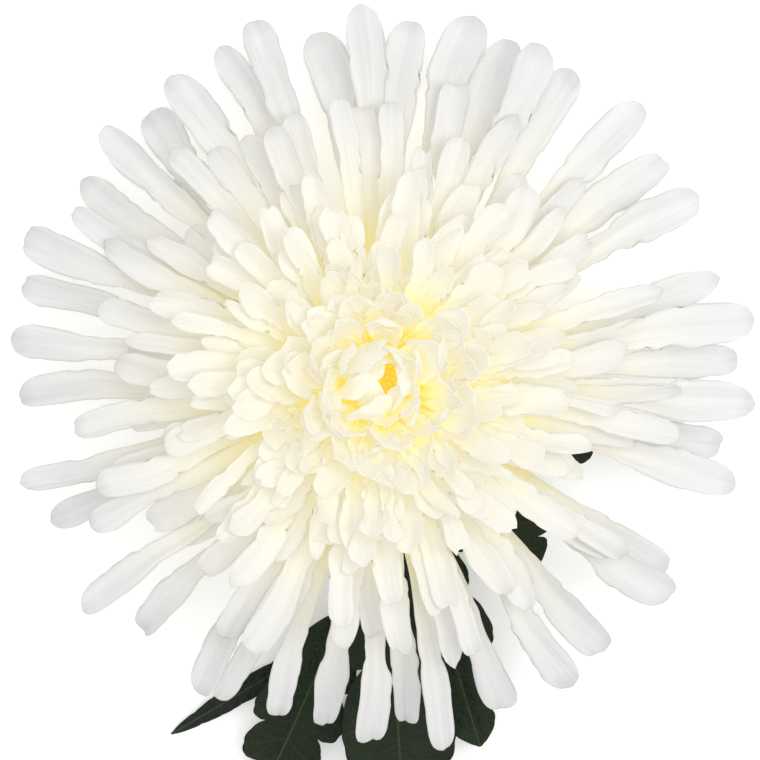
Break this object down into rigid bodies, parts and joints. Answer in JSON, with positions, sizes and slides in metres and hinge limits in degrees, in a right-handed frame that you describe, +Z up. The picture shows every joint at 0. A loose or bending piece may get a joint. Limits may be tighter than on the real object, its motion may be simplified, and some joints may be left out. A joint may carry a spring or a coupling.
{
  "type": "spider chrysanthemum",
  "caption": "Cut spider chrysanthemum lying on its side: an ivory bloom of long spoon-tipped florets on a ribbed, leafy stem.",
  "frame": {"origin": "middle of the footprint, on the surface that the flower lies on", "axes": "+Z up from the surface; +Y along the stem, from its cut end towards the bloom; +X to the right of the bloom seen from above"},
  "size_m": [0.1582, 0.3228, 0.0633],
  "materials": {
    "petal": "soft satin petal, ivory with a pale yellow heart",
    "disc": "golden disc florets",
    "bract": "matt green bracts with pale edges",
    "stem": "matt green, finely ribbed and downy",
    "leaf": "dark green leaf, faint sheen, paler veins"
  },
  "bodies": {
    "root": {"ray_florets": "petal", "disc_florets": "disc", "bract_cup": "bract", "stem": "stem", "leaf_back": "leaf", "leaf_left": "leaf", "leaf_right": "leaf", "leaf_low_right": "leaf", "leaf_over_stem": "leaf", "leaf_near_right": "leaf", "leaf_near_left": "leaf", "leaf_slim": "leaf", "leaf_stem_right": "leaf", "leaf_stem_left": "leaf"}
  },
  "joints": []
}
